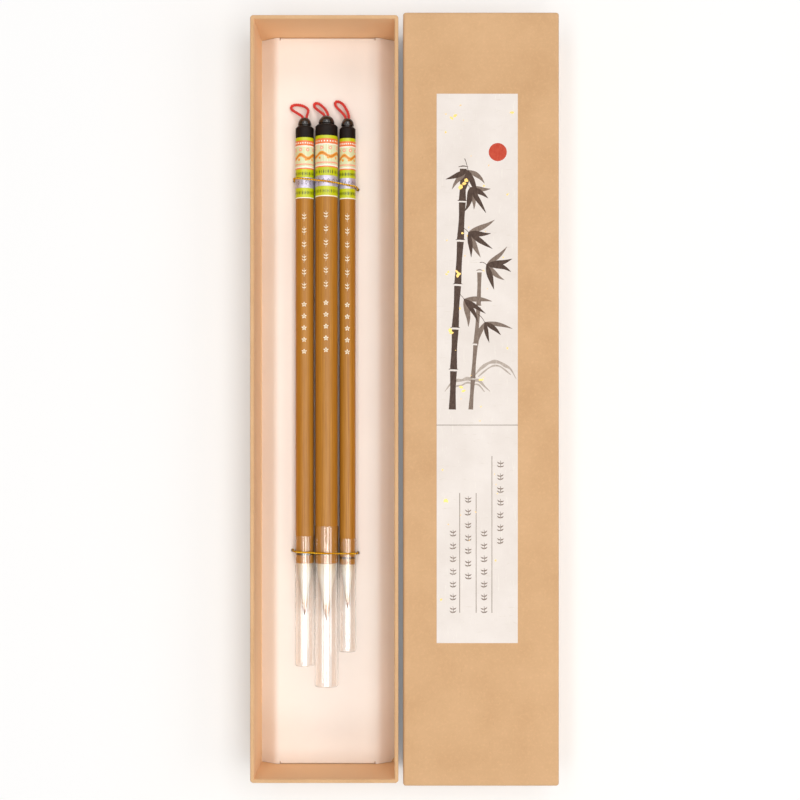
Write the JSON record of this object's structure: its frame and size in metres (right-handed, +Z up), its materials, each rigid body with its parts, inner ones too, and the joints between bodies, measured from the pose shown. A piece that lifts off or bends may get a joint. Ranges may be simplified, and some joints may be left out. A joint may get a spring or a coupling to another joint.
{
  "type": "calligraphy set box",
  "caption": "Long telescoping kraft gift box, lid lying beside it, with a folded card platform that carries bamboo calligraphy brushes under gold wire ties, each with a clear cap.",
  "frame": {"origin": "on the table, under the middle of the tray and the lid lying side by side", "axes": "+X from the tray to the lid, +Y along the brushes towards their loops, +Z up"},
  "size_m": [0.1428, 0.358, 0.038],
  "materials": {
    "kraft_paper": "matte",
    "lining_paper": "matte",
    "base_paper": "matte",
    "greyboard": "matte",
    "gummed_tape": "satin",
    "label_paper": "satin",
    "platform_card": "satin",
    "gold_wire": "gloss",
    "bamboo": "satin",
    "dark_finial": "gloss",
    "red_cord": "matte",
    "sleeve_paper": "gloss",
    "silver_foil": "satin",
    "brush_hair": "satin",
    "clear_plastic": "gloss"
  },
  "bodies": {
    "tray": {"tray_base_sheet": "base_paper", "tray_corner_stays": "gummed_tape", "tray_end_board_foot": "greyboard", "tray_end_board_head": "greyboard", "tray_lining": "lining_paper", "tray_panel_board": "greyboard", "tray_side_board_left": "greyboard", "tray_side_board_right": "greyboard", "tray_wrap": "kraft_paper"},
    "lid": {"lid_corner_stays": "gummed_tape", "lid_end_board_foot": "greyboard", "lid_end_board_head": "greyboard", "lid_label": "label_paper", "lid_lining": "lining_paper", "lid_panel_board": "greyboard", "lid_side_board_left": "greyboard", "lid_side_board_right": "greyboard", "lid_wrap": "kraft_paper"},
    "platform": {"insert_card": "platform_card", "tie_upper": "gold_wire", "tie_lower": "gold_wire"},
    "brush_medium": {"brush_medium_handle": "bamboo", "brush_medium_finial": "dark_finial", "brush_medium_loop": "red_cord", "brush_medium_sleeve": "sleeve_paper", "brush_medium_foil_band": "silver_foil", "brush_medium_hair": "brush_hair"},
    "cap_medium": {"brush_medium_cap": "clear_plastic"},
    "brush_large": {"brush_large_handle": "bamboo", "brush_large_finial": "dark_finial", "brush_large_loop": "red_cord", "brush_large_sleeve": "sleeve_paper", "brush_large_foil_band": "silver_foil", "brush_large_hair": "brush_hair"},
    "cap_large": {"brush_large_cap": "clear_plastic"},
    "brush_small": {"brush_small_handle": "bamboo", "brush_small_finial": "dark_finial", "brush_small_loop": "red_cord", "brush_small_sleeve": "sleeve_paper", "brush_small_foil_band": "silver_foil", "brush_small_hair": "brush_hair"},
    "cap_small": {"brush_small_cap": "clear_plastic"}
  },
  "joints": [
    {"name": "lid_lift", "type": "slide", "parent": "tray", "child": "lid", "axis": [0, 0, 1], "range_m": [0, 0.06]},
    {"name": "platform_lift", "type": "slide", "parent": "tray", "child": "platform", "axis": [0, 0, 1], "range_m": [0, 0.06]},
    {"name": "brush_medium_slide", "type": "slide", "parent": "platform", "child": "brush_medium", "axis": [0, 1, 0], "range_m": [0, 0.024]},
    {"name": "cap_medium_pull", "type": "slide", "parent": "brush_medium", "child": "cap_medium", "axis": [0, -1, 0], "range_m": [0, 0.047]},
    {"name": "brush_large_slide", "type": "slide", "parent": "platform", "child": "brush_large", "axis": [0, 1, 0], "range_m": [0, 0.024]},
    {"name": "cap_large_pull", "type": "slide", "parent": "brush_large", "child": "cap_large", "axis": [0, -1, 0], "range_m": [0, 0.038]},
    {"name": "brush_small_slide", "type": "slide", "parent": "platform", "child": "brush_small", "axis": [0, 1, 0], "range_m": [0, 0.024]},
    {"name": "cap_small_pull", "type": "slide", "parent": "brush_small", "child": "cap_small", "axis": [0, -1, 0], "range_m": [0, 0.054]}
  ]
}
